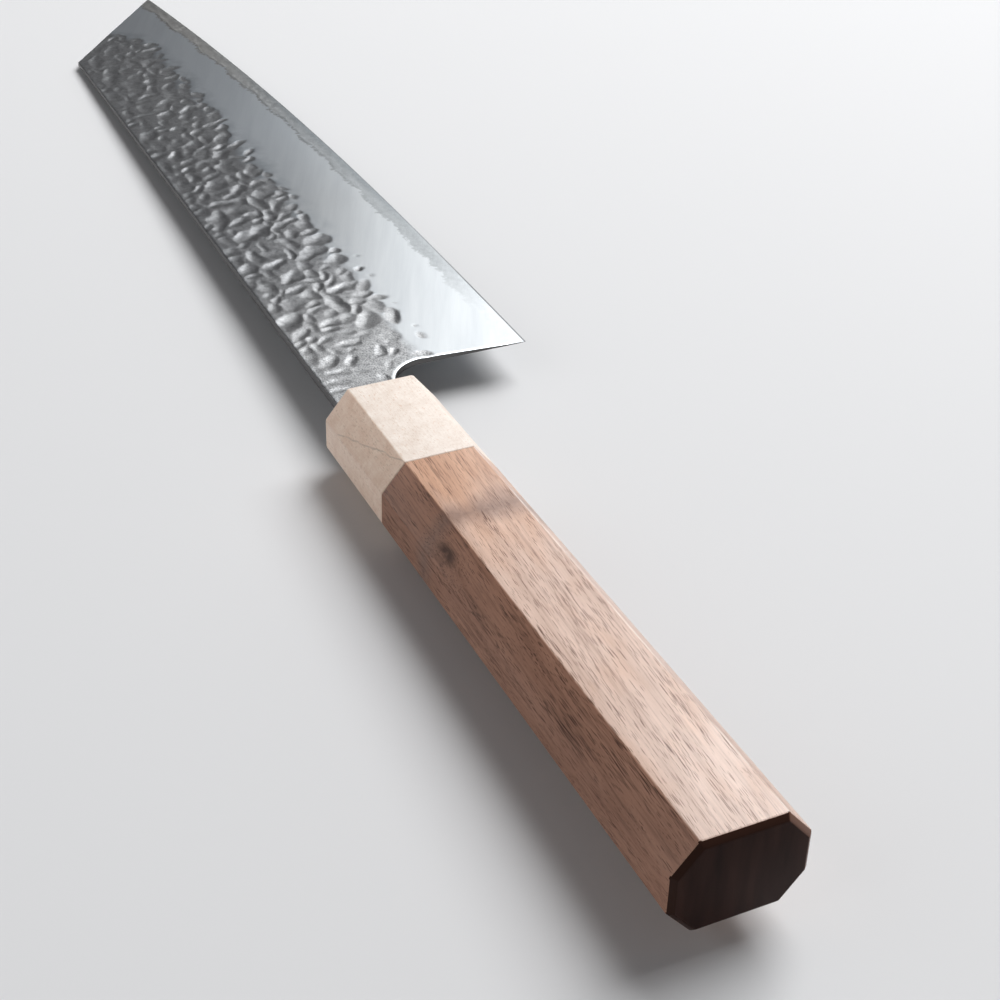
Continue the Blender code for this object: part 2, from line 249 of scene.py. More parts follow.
def forged_half(x, y):
    """Half thickness as forged: thins towards the tip and a little towards the edge."""
    along = np.clip(x / corner_x, 0.0, 1.0)
    at_spine = half_neck + (half_clip - half_neck) * along
    depth = (spine_y(x) - y) / (spine_rise + heel_drop)
    onset = np.clip(x / heel_reach, 0.0, 1.0)
    return at_spine * (1.0 - forged_taper * depth * onset)


def ground_half(x, y):
    """Half thickness as ground: a convex flank, then the small bevel of the edge itself."""
    rise = y - edge_y(x)
    shoulder = shoulder_y(x)
    share = (rise - edge_bevel_height) / (shoulder - edge_y(x) - edge_bevel_height)
    flank = half_edge + (forged_half(x, shoulder) - half_edge) * np.maximum(share, 0.0) ** grind_power
    return np.minimum(flank, half_edge * np.maximum(rise, 0.0) / edge_bevel_height)


def back_distance(x, y):
    """How far a point lies from the choil, its arc and the underside of the neck."""
    from_arc = np.hypot(x - arc_x, y - arc_y) - choil_radius
    from_back = np.where(y < arc_y, x - choil_x(y), from_arc)
    return np.where(x < arc_x, y + neck_drop, from_back)


def rim_share(x, y):
    """How far in from the bare outline a point lies, as a share of the rounded rim there, up to one."""
    from_clip = (clip_y(x) - y) * clip_length / math.hypot(clip_length, corner_y + tip_drop)
    from_top = np.minimum(from_clip, spine_y(x) - y) / rim_width
    return np.clip(np.minimum(from_top, back_distance(x, y) / choil_rim), 0.0, 1.0)


def rounded_rim(x, y, half):
    """Half thicknesses with the rims rounded over, but not below the core's own flat faces."""
    easing = np.clip(0.5 * (half - half_core), 0.0, rim_depth)
    return half - easing * (1.0 - np.sqrt(1.0 - (1.0 - rim_share(x, y)) ** 2))


def settled(start, rule):
    """Repeats a rule on a row of places until they stop moving."""
    place = start
    for _ in range(settling_rounds):
        place = (place + rule(place)) / 2
    return place


def only(piece):
    """Makes one piece the active and only selected one."""
    bpy.ops.object.select_all(action="DESELECT")
    piece.select_set(True)
    bpy.context.view_layer.objects.active = piece


def moved_points(x, y, z):
    """Moves the active primitive's points to the places in three like arrays."""
    piece = bpy.context.active_object
    places = np.stack((x, y, z), axis=-1).reshape(-1).astype(np.float32)
    piece.data.vertices.foreach_set("co", places)
    piece.data.update()
    return piece


def moved_grid(x, y, z):
    """A grid primitive whose rows and columns of points are moved to the places given."""
    bpy.ops.object.select_all(action="DESELECT")
    rows, columns = x.shape
    bpy.ops.mesh.primitive_grid_add(x_subdivisions=columns - 1, y_subdivisions=rows - 1, size=1)
    return moved_points(x, y, z)


def select_edges(piece, keep):
    """Selects the edges whose two ends both pass a test on an array of points, and opens the piece."""
    only(piece)
    places = np.empty(len(piece.data.vertices) * 3, np.float32)
    piece.data.vertices.foreach_get("co", places)
    passed = keep(places.reshape(-1, 3))
    ends = np.empty(len(piece.data.edges) * 2, np.int32)
    piece.data.edges.foreach_get("vertices", ends)
    bpy.context.tool_settings.mesh_select_mode = (False, True, False)
    bpy.ops.object.mode_set(mode="EDIT")
    bpy.ops.mesh.select_all(action="DESELECT")
    bpy.ops.object.mode_set(mode="OBJECT")
    piece.data.edges.foreach_set("select", passed[ends.reshape(-1, 2)].all(axis=1))
    bpy.ops.object.mode_set(mode="EDIT")


def select_rim():
    """Selects the open rim of the piece in hand."""
    bpy.ops.mesh.select_all(action="DESELECT")
    bpy.ops.mesh.select_non_manifold(
        extend=False, use_wire=False, use_boundary=True, use_multi_face=False,
        use_non_contiguous=False, use_verts=False,
    )


def drop_to(level):
    """Walls from the selected edges to one level, which stay selected there."""
    bpy.ops.mesh.extrude_edges_move(TRANSFORM_OT_translate={"value": (0, 0, 0)})
    bpy.ops.transform.resize(value=(1, 1, 0), center_override=(0, 0, level))


def outward_faces():
    """Turns the faces of the piece in hand outwards, and leaves edit mode."""
    bpy.ops.mesh.select_all(action="SELECT")
    bpy.ops.mesh.normals_make_consistent(inside=False)
    bpy.ops.object.mode_set(mode="OBJECT")


def finish_piece(piece, name, material, smooth_up_to=35):
    """Moves a piece from the handle's axis to its place, and gives it its name, body and material."""
    only(piece)
    bpy.ops.object.shade_smooth_by_angle(angle=math.radians(smooth_up_to))
    piece.data.transform(Matrix.Translation(zero))
    piece.name = piece.data.name = name
    piece.data.materials.clear()
    piece.data.materials.append(material)
    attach(piece, "root")


def dress(node, material):
    """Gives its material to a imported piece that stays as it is."""
    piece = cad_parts[node]
    piece.data.materials.clear()
    piece.data.materials.append(material)


def blended(tree, share, first, second):
    """A colour between two others."""
    return put(tree, "Mix", {0: share, 6: first, 7: second}, data_type="RGBA").outputs[2]


def noise(tree, place, scale, detail=2.0, roughness=0.5):
    sockets = {"Vector": place, "Scale": scale, "Detail": detail, "Roughness": roughness}
    return put(tree, "TexNoise", sockets).outputs[0]


def stretched(tree, place, scale, turn=(0.0, 0.0, 0.0), shift=(0.0, 0.0, 0.0)):
    """Coordinates turned and stretched for a pattern that runs one way."""
    sockets = {"Vector": place, "Location": shift, "Rotation": turn, "Scale": scale}
    return put(tree, "Mapping", sockets).outputs[0]


def new_group(name, inputs, outputs):
    """A shader node group with named sockets: its tree, what it is given and where its results go."""
    tree = bpy.data.node_groups.new(name, "ShaderNodeTree")
    for socket, kind, value in inputs:
        made = tree.interface.new_socket(name=socket, in_out="INPUT", socket_type="NodeSocket" + kind)
        if value is not None:
            made.default_value = value
    for socket in outputs:
        tree.interface.new_socket(name=socket, in_out="OUTPUT", socket_type="NodeSocketFloat")
    return tree, tree.nodes.new("NodeGroupInput").outputs, tree.nodes.new("NodeGroupOutput").inputs


def use_group(tree, group, inputs):
    """Places a node group in a material, and gives its outputs."""
    return put(tree, "Group", inputs, node_tree=group).outputs


def new_material(name):
    """An empty material, its tree and the object coordinates that its patterns read."""
    material = bpy.data.materials.new(name)
    material.use_nodes = True
    material.node_tree.nodes.clear()
    return material, material.node_tree, put(material.node_tree, "TexCoord").outputs["Object"]


def surface(tree, sockets):
    """The shader at the end of a material."""
    shader = put(tree, "BsdfPrincipled", sockets)
    put(tree, "OutputMaterial", {"Surface": shader.outputs[0]})


def facing(tree):
    """The three parts of the direction that the surface faces."""
    return put(tree, "SeparateXYZ", {0: put(tree, "NewGeometry").outputs["Normal"]}).outputs


def on_rim(tree):
    """One on the upright rims of the steel, and none on its broad faces."""
    return ranged(tree, maths(tree, "ABSOLUTE", facing(tree)[2]), 0.25, 0.6, 1.0, 0.0)


def noted(tree, name):
    """A value that the mesh keeps at its points."""
    return put(tree, "Attribute", attribute_name=name).outputs["Fac"]


def along_blade(tree, along, near, far, at_near=0.0, at_far=1.0):
    """A value that changes between two distances from the ferrule, in millimetres."""
    return ranged(tree, along, zero.x + near * mm, zero.x + far * mm, at_near, at_far)


# Marks of the stones: fine scratches at a slant to the edge, with broad faint bands of polish
stone_slant = 0.44
stone_marks, given, kept = new_group(
    "stone marks", [("Place", "Vector", None), ("Slant", "Float", stone_slant)], ["Scratches", "Bands"]
)
turned = put(
    stone_marks, "VectorRotate", {"Vector": given["Place"], "Angle": given["Slant"]}, rotation_type="Z_AXIS"
).outputs[0]
scratches = noise(stone_marks, stretched(stone_marks, turned, (150, 6000, 900)), 1.0, 3.0, 0.65)
bands = noise(stone_marks, stretched(stone_marks, turned, (30, 420, 40)), 1.0, 2.0)
stone_marks.links.new(scratches, kept["Scratches"])
stone_marks.links.new(bands, kept["Bands"])

# Dark and light of the bare steel: polished by the heel, and the etched core beyond it and at the tip. The
# polish is painted darker by the heel and lighter beyond, as painted reflection.
heel_polish_painted_dim = (0.50, 0.53, 0.555, 1), (0.57, 0.60, 0.62, 1)
etched_core = (0.295, 0.315, 0.33, 1), (0.415, 0.44, 0.455, 1)
etched_tip = (0.36, 0.36, 0.352, 1), (0.46, 0.46, 0.45, 1)
bright_fleck = (0.74, 0.76, 0.78, 1)
edge_shade_colour = (0.10, 0.13, 0.15, 1)
painted_edge_darkening_colour = (0.10, 0.105, 0.11, 1)
# The upright rims of the steel are painted dark, partly their rough finish and partly painted shade
rim_colour_with_painted_shade = (0.12, 0.117, 0.116, 1)


def core_colour(tree, along, tone):
    """The hard steel etches to a darker grey than the soft one; beside the heel it is painted as bright as
    the polish, as painted reflection.
    """
    at_heel = blended(tree, tone, *heel_polish_painted_dim)
    colour = blended(tree, along_blade(tree, along, 34, 62), at_heel, blended(tree, tone, *etched_core))
    return blended(tree, along_blade(tree, along, 150, 210), colour, blended(tree, tone, *etched_tip))


core_steel, tree, place = new_material("hard core steel")
marks = use_group(tree, stone_marks, {"Place": place, "Slant": stone_slant})
clouds = noise(tree, place, 620.0, 4.0, 0.6)
flecks = ranged(tree, noise(tree, place, 2600.0), 0.62, 0.72)
tone = maths(tree, "MULTIPLY_ADD", clouds, 0.7, product(tree, marks["Scratches"], 0.3))
along = put(tree, "SeparateXYZ", {0: place}).outputs[0]
colour = core_colour(tree, along, ranged(tree, tone, 0.35, 0.65))
colour = blended(tree, product(tree, flecks, 0.3), colour, bright_fleck)
above_edge = noted(tree, "above edge")
# Painted shade darkens the strip just above the edge, from about 65 mm along the blade, weaker near the tip
edge_shade = ranged(tree, above_edge, 0.08, 0.26, 0.42, 0.0)
edge_shade = product(tree, edge_shade, along_blade(tree, along, 65, 100))
edge_shade = product(tree, edge_shade, along_blade(tree, along, 150, 225, 1.0, 0.3))
colour = blended(tree, edge_shade, colour, edge_shade_colour)
# A thin line of painted shade runs along the edge bevel, strongest by the heel
painted_edge_darkening = ranged(tree, above_edge, 0.036, 0.044, 1.0, 0.0)
painted_edge_darkening = product(tree, painted_edge_darkening, along_blade(tree, along, 45, 75, 0.9, 0.4))
colour = blended(tree, painted_edge_darkening, colour, painted_edge_darkening_colour)
colour = blended(tree, on_rim(tree), colour, rim_colour_with_painted_shade)
bump = put(tree, "Bump", {"Strength": 0.25, "Distance": 0.00003, "Height": marks["Scratches"]}).outputs[0]
surface(tree, {
    "Base Color": colour, "Metallic": 1.0, "Roughness": ranged(tree, clouds, 0.3, 0.7, 0.30, 0.42),
    "Normal": bump,
})


def strip_y(x, share):
    """Heights on the bare strip of the core, from the edge up to the cladding."""
    low = edge_y(x)
    return low + (core_line_y(x) - low) * share


# Columns of points run from the choil to the clip, closer together near these rims
rim_crowding = 1.5
rim_steps = rim_width * np.linspace(0.0, 1.0, 6)[:-1] ** rim_crowding
choil_steps = choil_rim * np.linspace(0.0, 1.0, 8)[:-1] ** rim_crowding
columns = np.concatenate([
    choil_steps, np.linspace(choil_rim, blade_length - 2 * rim_width, flank_columns)[:-1],
    blade_length - 2 * rim_steps[::-1],
]) / blade_length
strip_left = settled(np.full_like(strip_shares, heel_reach), lambda x: choil_x(strip_y(x, strip_shares)))
strip_right = settled(np.full_like(strip_shares, tip_x), lambda x: clip_x(strip_y(x, strip_shares)))
strip_x = strip_left[:, None] + (strip_right - strip_left)[:, None] * columns
strip_high = strip_y(strip_x, strip_shares[:, None])
strip_half = rounded_rim(strip_x, strip_high, ground_half(strip_x, strip_high))
core = moved_grid(strip_x, strip_high, strip_half)
layer = core.data.attributes.new("above edge", "FLOAT", "POINT")
strip_rise = (strip_high - edge_y(strip_x)) / height_unit
layer.data.foreach_set("value", strip_rise.reshape(-1).astype(np.float32))
select_edges(core, lambda places: places[:, 1] > core_line_y(places[:, 0]) - 0.001 * mm)
drop_to(half_core)
bpy.ops.object.mode_set(mode="OBJECT")

arc_turns = np.linspace(math.pi / 2, 0.0, arc_steps + 1)
outline = list(zip(strip_x[-1], strip_high[-1]))
outline += [(corner_x, corner_y), (0.0, spine_rise), (-neck_seat, spine_rise)]
outline += [(x * mm, y * mm) for x, y in tang_profile]
outline += [(x * mm, -y * mm) for x, y in reversed(tang_profile)]
outline += [(-neck_seat, -neck_drop)]
outline += [(arc_x + choil_radius * math.cos(t), arc_y + choil_radius * math.sin(t)) for t in arc_turns]
outline = np.array(outline)
bpy.ops.object.select_all(action="DESELECT")
bpy.ops.mesh.primitive_circle_add(vertices=len(outline), fill_type="NGON")
moved_points(outline[:, 0], outline[:, 1], np.full(len(outline), half_core))
core.select_set(True)
bpy.context.view_layer.objects.active = core
bpy.ops.object.join()
bpy.ops.object.mode_set(mode="EDIT")
bpy.ops.mesh.select_all(action="SELECT")
bpy.ops.mesh.remove_doubles(threshold=merge_distance)
select_rim()
drop_to(0.0)
bpy.ops.mesh.select_all(action="SELECT")
bpy.ops.mesh.remove_doubles(threshold=merge_distance)
bpy.ops.object.mode_set(mode="OBJECT")
other_side = core.modifiers.new("other side", "MIRROR")
other_side.use_axis = (False, False, True)
other_side.merge_threshold = wide_merge_distance
bpy.ops.object.modifier_apply(modifier=other_side.name)
bpy.ops.object.mode_set(mode="EDIT")
outward_faces()
finish_piece(core, "core_layer", core_steel)
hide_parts("blade_core")

# Claddings
# Two layers of softer steel cover the core. The smith hammers them, and the dents stay on the upper
# part. The flanks are then ground bright from below the middle to the edge, through the lowest dents.

least_cladding = 0.03 * mm
neck_columns = 36
border_overrun = 4.0 * mm

# Depths over which the material changes from ground steel to forged skin
skin_fade = 0.05 * mm
deep_skin = 0.4 * mm
near_skin = 0.08 * mm

# Depth of a dent as a share of its width, and how that changes along the blade, in millimetres
dent_steepness = 0.071
steeper_at = (28, 45, 120, 180)
steeper_by = (1.15, 1.0, 1.0, 0.9)
dent_growth = 1.22
bowl_power = 1.3
slow_sway = 0.5 * mm
roll_height = 0.018 * mm

# The dents thrown at random: how many throws, and their ranges in millimetres, degrees and shares
dent_throws = 6000
dent_lengths = (3.0, 7.4)
dent_widths = (2.0, 3.8)
dent_slant, dent_slant_spread = -30, 38
dent_shares = (0.5, 0.9)
lowest_throw = -21
below_shoulder = 1.4 * mm
below_top = 0.5 * mm

# Dents of the right face: x, y, length and width in millimetres, slant in degrees, share of depth
right_face_dents = [
    (13.2, 3.8, 6.4, 1.7, 88, 0.8), (16.0, 3.2, 7.0, 1.7, 86, 0.8), (19.5, 1.4, 8.0, 2.3, 90, 0.7),
    (22.4, 5.1, 3.5, 2.0, 0, 0.5), (25.1, 1.6, 5.6, 3.2, -35, 1.0), (23.2, -3.4, 5.0, 2.8, -35, 1.0),
    (30.7, 4.7, 4.5, 2.5, -20, 0.8), (31.3, 1.6, 3.5, 2.8, 0, 0.8), (35.5, 1.6, 3.2, 3.2, 0, 0.8),
    (38.6, 3.0, 7.5, 2.5, -48, 1.1), (44.7, 3.2, 8.0, 5.0, -30, 1.0), (30.9, -5.5, 5.2, 2.0, 86, 1.1),
    (28.2, -5.1, 2.0, 1.5, 0, 0.7), (38.4, -4.3, 3.0, 3.0, 0, 0.9), (41.3, -5.1, 4.5, 3.0, -70, 1.0),
    (44.3, -1.5, 3.5, 2.8, 0, 0.8), (14.7, -6.5, 3.0, 2.3, 0, 1.0), (25.3, -10.1, 5.0, 2.6, -30, 0.95),
    (24.3, -13.2, 3.2, 2.7, -30, 1.0), (39.2, -13.3, 6.6, 4.4, -38, 0.85), (48.6, -9.7, 9.5, 4.3, 5, 1.1),
    (39.0, -19.0, 8.3, 3.4, -10, 1.1), (48.2, -14.8, 3.5, 3.0, 30, 0.8), (51.3, -16.8, 4.0, 3.0, 90, 0.8),
    (48.0, -19.7, 5.0, 3.0, 90, 0.5), (55.1, -13.4, 8.0, 3.3, -68, 1.0), (58.0, -8.4, 6.0, 2.6, -10, 1.0),
    (59.7, -12.6, 5.5, 2.0, -42, 1.0), (63.0, -11.8, 4.2, 2.2, -20, 0.9), (63.8, -16.8, 3.3, 1.8, -15, 0.8),
    (63.4, -20.3, 2.6, 2.2, -20, 1.0), (64.7, -4.7, 6.0, 4.0, -45, 1.1), (58.0, -3.4, 6.0, 2.4, -65, 1.1),
    (54.9, -5.5, 3.8, 3.3, 50, 0.9), (61.8, 2.2, 7.5, 3.0, 12, 1.0), (58.0, 3.7, 3.5, 2.5, 0, 0.7),
    (51.8, -0.5, 6.0, 5.0, 90, 0.5), (20.1, -18.6, 4.0, 2.5, 80, 0.8), (28.8, -21.5, 4.5, 3.0, 0, 0.3),
    (32.8, -22.6, 1.6, 0.8, -35, 0.8), (44.3, -21.8, 1.8, 1.2, 90, 0.4), (58.8, -22.4, 3.0, 1.8, 0, 0.3),
    (68.8, -23.4, 1.8, 0.6, 0, 0.6), (68.8, 3.3, 3.5, 3.5, 0, 0.8), (69.3, -17.6, 5.5, 4.0, -60, 0.9),
    (73.8, -18.8, 3.5, 3.0, 90, 0.8), (71.8, -3.5, 6.0, 3.2, -50, 1.1), (75.0, -13.8, 8.0, 3.5, -52, 1.0),
    (72.2, 3.3, 6.0, 4.5, -50, 0.9), (77.2, 4.5, 4.0, 3.0, 0, 0.8), (82.2, 4.1, 4.5, 3.5, 0, 0.8),
    (77.6, -0.5, 6.0, 3.5, 30, 0.9), (75.9, -8.4, 4.5, 2.3, 10, 1.1), (81.3, -4.3, 6.0, 2.0, 0, 0.8),
    (81.3, -10.0, 7.0, 3.5, 20, 0.9), (86.3, -7.2, 3.0, 2.0, -20, 0.7), (89.3, -3.8, 11.0, 4.5, -60, 1.1),
    (80.5, -17.2, 6.5, 4.5, -60, 0.8), (85.9, -17.2, 4.0, 3.0, -30, 0.7), (91.8, -0.1, 3.0, 2.0, 0, 0.7),
    (96.8, -3.4, 6.0, 3.0, -40, 0.8), (95.0, 2.8, 4.0, 3.0, 0, 0.8), (99.7, 1.2, 9.0, 4.5, -20, 1.0),
    (103.0, -3.8, 5.5, 3.5, 80, 0.8), (105.5, 3.7, 5.0, 3.5, 0, 0.7), (108.0, -2.2, 8.5, 3.5, 85, 0.8),
    (108.0, -6.8, 4.5, 4.0, 0, 0.8), (97.6, -11.3, 5.5, 3.5, -15, 0.9), (105.5, -10.9, 8.5, 4.3, 5, 0.9),
    (102.2, -15.0, 6.5, 2.8, -20, 0.9), (96.3, -18.0, 2.8, 2.0, 0, 0.7), (105.5, -20.5, 3.0, 2.5, -45, 0.5),
    (109.7, -13.8, 4.0, 4.0, 0, 0.8), (113.4, -0.1, 3.5, 3.0, 0, 0.8), (115.5, -3.8, 5.0, 3.5, 60, 0.8),
    (114.3, -8.8, 6.5, 4.0, -60, 0.9), (118.8, -4.7, 6.0, 5.0, 0, 0.8), (121.3, 3.3, 7.0, 4.0, 0, 0.7),
    (122.2, -13.0, 4.5, 3.0, 0, 0.9), (115.9, -14.7, 4.5, 2.5, -35, 0.9), (116.3, -17.6, 4.0, 2.0, 25, 0.7),
    (123.0, -16.3, 4.0, 4.0, 0, 0.8), (125.0, -0.9, 4.5, 4.0, 0, 0.9), (111.3, -20.0, 4.0, 2.5, 30, 0.4),
    (133.8, 4.1, 6.0, 3.0, 0, 0.8), (141.3, 3.7, 4.5, 3.0, -20, 1.0), (128.3, -5.9, 4.0, 2.5, -10, 1.0),
    (139.6, -0.7, 6.5, 3.5, -30, 1.1), (133.8, 0.3, 3.0, 2.2, 40, 0.8), (151.3, -1.8, 4.0, 2.2, -15, 1.0),
    (155.0, 2.0, 8.0, 4.5, -30, 1.0), (150.8, 4.5, 3.5, 2.0, 0, 0.8), (162.5, 4.1, 4.0, 2.5, -30, 0.9),
    (166.8, 3.7, 3.0, 2.0, -60, 0.9), (163.8, 0.8, 8.0, 2.4, 0, 0.8), (171.3, 2.8, 4.0, 2.8, -50, 0.9),
    (173.3, -3.0, 5.0, 3.0, -20, 0.9), (178.3, 0.8, 6.0, 3.0, 20, 0.8), (161.7, -5.0, 4.0, 2.5, 0, 1.0),
    (166.7, -6.8, 7.0, 3.5, -30, 1.0), (156.0, -6.6, 4.5, 3.0, -20, 1.1), (145.8, -7.6, 7.0, 3.5, -20, 0.8),
    (152.0, -10.9, 7.0, 3.0, -20, 0.9), (136.7, -12.2, 6.0, 4.0, -40, 1.0),
    (141.0, -13.5, 5.5, 3.5, -60, 1.0), (147.5, -16.2, 9.0, 3.0, -25, 0.9),
    (152.5, -17.6, 5.0, 3.0, -40, 0.8), (155.2, -15.0, 3.0, 2.4, 0, 1.0), (157.5, -12.6, 3.5, 3.0, 0, 0.8),
    (168.0, -13.4, 8.0, 3.0, -40, 1.1), (173.5, -14.8, 4.0, 2.5, -10, 1.0),
    (163.3, -11.0, 6.0, 3.0, -30, 0.9), (161.7, -18.6, 8.0, 3.0, -25, 0.5),
    (135.8, -19.0, 5.0, 2.5, -30, 0.9), (130.8, -17.6, 4.0, 3.0, -50, 0.8),
    (127.6, -10.5, 6.0, 5.0, 20, 0.7), (133.8, -8.0, 5.0, 3.0, 60, 0.8), (178.3, -12.6, 10.0, 5.0, 0, 0.5),
    (180.0, -16.6, 8.0, 2.6, 0, 0.5), (181.0, -6.2, 6.5, 3.0, -45, 0.9), (174.2, -9.0, 7.0, 4.0, -45, 0.8),
    (189.2, -4.7, 9.0, 4.0, 10, 0.8), (190.8, -10.0, 5.0, 4.0, -30, 1.0), (198.3, -13.0, 6.0, 3.0, 15, 1.0),
    (204.6, -13.4, 5.0, 3.5, -30, 1.0), (199.0, -0.7, 16.0, 4.4, -22, 0.9), (204.2, 4.1, 3.0, 1.6, 0, 0.9),
    (194.5, 4.0, 9.0, 2.2, 0, 0.8), (211.0, 0.0, 8.0, 4.0, -15, 0.8), (211.7, -6.8, 4.0, 2.2, -20, 1.1),
    (216.7, -5.9, 7.0, 2.5, -25, 1.1), (226.2, -9.0, 6.0, 2.2, -40, 1.1), (217.9, -13.4, 3.0, 2.5, 0, 0.8),
    (222.5, -15.5, 5.0, 3.0, -20, 0.5), (220.5, -2.8, 6.0, 3.0, -38, 0.8), (195.5, -6.8, 6.0, 3.0, -30, 0.7),
    (205.5, -8.6, 8.0, 4.0, -10, 0.6), (146.5, 1.8, 4.5, 3.2, 60, 0.7), (183.5, 3.4, 6.0, 3.2, -10, 0.7),
    (185.4, -13.6, 5.0, 3.0, -30, 0.7), (213.0, -11.0, 5.0, 3.0, -30, 0.8), (27.5, 4.7, 4.0, 2.4, 0, 0.7),
    (35.0, 4.7, 5.0, 2.4, -30, 0.7), (33.6, -1.4, 4.0, 2.4, -60, 0.8), (28.6, -1.6, 3.5, 2.2, 30, 0.6),
    (47.5, -4.4, 5.0, 2.4, -60, 0.7), (35.2, -6.8, 4.0, 2.4, 80, 0.7), (20.5, 5.6, 2.6, 1.6, 60, 0.6),
    (33.0, -10.0, 5.0, 3.0, -60, 0.35), (19.2, -3.2, 3.0, 2.0, 60, 0.6), (29.5, -15.0, 6.0, 3.4, -20, 0.3),
    (18.6, -10.0, 3.4, 2.2, -40, 0.45), (31.8, 2.6, 9.0, 1.4, -75, 0.5),
]


def scattered_dents(seed, first_x, closeness, given_dents=()):
    """The dents given, and beyond first_x as many at random as find room beside the others."""
    rng = random.Random(seed)
    dents = list(given_dents)
    for _ in range(dent_throws):
        x, y = rng.uniform(first_x, tip_x / mm), rng.uniform(lowest_throw, spine_rise / mm)
        length, width = rng.uniform(*dent_lengths), rng.uniform(*dent_widths)
        slant, share = rng.gauss(dent_slant, dent_slant_spread), rng.uniform(*dent_shares)
        lowest = shoulder_y(x * mm) - below_shoulder
        highest = min(spine_y(x * mm), clip_y(x * mm)) - below_top
        if y * mm < lowest or y * mm > highest:
            continue
        reach = math.sqrt(length * width)
        room = (math.hypot(x - d[0], y - d[1]) / (reach + math.sqrt(d[2] * d[3])) for d in dents)
        if all(gap > closeness for gap in room):
            dents.append((x, y, length, width, slant, share))
    return dents


def hammered(x, y, dents):
    """Depth of the hammering below the smooth forged flank, with outlines that sway a little."""
    slow_x = x / (1.9 * mm) + 1.3 * np.sin(y / (2.6 * mm))
    slow_y = y / (1.7 * mm) + 1.1 * np.sin(x / (3.1 * mm))
    fast_x = y / (0.7 * mm) + np.sin(x / (1.3 * mm))
    fast_y = x / (0.9 * mm) + np.sin(y / (1.1 * mm))
    unrest = mm * (0.14 + 0.16 * np.clip((x - 35 * mm) / (40 * mm), 0.0, 1.0))
    sway_x = x + slow_sway * np.sin(slow_x) + unrest * np.sin(fast_x)
    sway_y = y + slow_sway * np.sin(slow_y) + unrest * np.sin(fast_y)
    total = np.zeros_like(x)
    for dent_x, dent_y, length, width, slant, share in dents:
        off_x, off_y, turn = sway_x - dent_x * mm, sway_y - dent_y * mm, math.radians(slant)
        along = (off_x * math.cos(turn) + off_y * math.sin(turn)) / (dent_growth * length / 2 * mm)
        across = (off_y * math.cos(turn) - off_x * math.sin(turn)) / (dent_growth * width / 2 * mm)
        here = np.array(dent_x * mm), np.array(dent_y * mm)
        ground_off = max(0.0, float(forged_half(*here) - ground_half(*here)))
        steepness = np.interp(dent_x, steeper_at, steeper_by) * dent_steepness
        depth = share * steepness * width * mm + ground_off
        total += (depth * np.maximum(0.0, 1.0 - along**2 - across**2) ** bowl_power) ** 3
    roll = np.sin(x / (3.3 * mm) + y / (4.1 * mm)) * np.sin(y / (2.9 * mm) - x / (5.3 * mm) + 1.0)
    onset = np.clip((x - 4 * mm) / (8 * mm), 0.0, 1.0)
    return (np.cbrt(total) + roll_height * (1 + roll)) * onset


# Rows of points run from the core line to the spine
core_line_at_neck = float(core_line_y(np.array(arc_x)))
spine_at_neck = float(spine_y(np.array(arc_x)))
row_heights = np.concatenate([
    np.linspace(core_line_at_neck, -shoulder_drop - border_overrun, 25)[:-1],
    np.linspace(-shoulder_drop - border_overrun, arc_y, 14)[:-1],
    arc_y + choil_radius * np.sin(arc_turns[::-1])[:-1],
    -neck_drop + choil_steps,
    np.linspace(choil_rim - neck_drop, spine_at_neck - rim_width, 49)[:-1],
    spine_at_neck - rim_steps[::-1],
])
row_shares = (row_heights - core_line_at_neck) / (spine_at_neck - core_line_at_neck)
neck_row = int(np.argmin(np.abs(row_heights + neck_drop)))


def row_y(x, share):
    """Heights on the cladding, from the core line up to the spine."""
    low = core_line_y(x)
    return low + (spine_y(x) - low) * share


row_left = settled(np.full_like(row_shares, heel_reach), lambda x: choil_x(row_y(x, row_shares)))
row_left[neck_row:] = arc_x
row_right = settled(np.full_like(row_shares, corner_x), lambda x: clip_x(row_y(x, row_shares)))
neck_x = np.linspace(-neck_seat, arc_x, neck_columns + 1)[:-1]
flank_x = row_left[:, None] + (row_right - row_left)[:, None] * columns
flank_y = row_y(flank_x, row_shares[:, None])
neck_y = np.repeat(row_y(arc_x, row_shares)[:, None], neck_columns, axis=1)
neck_y[-1] = spine_y(neck_x)
flank_x = np.concatenate([np.repeat(neck_x[None, :], len(row_shares), axis=0), flank_x], axis=1)
flank_y = np.concatenate([neck_y, flank_y], axis=1)


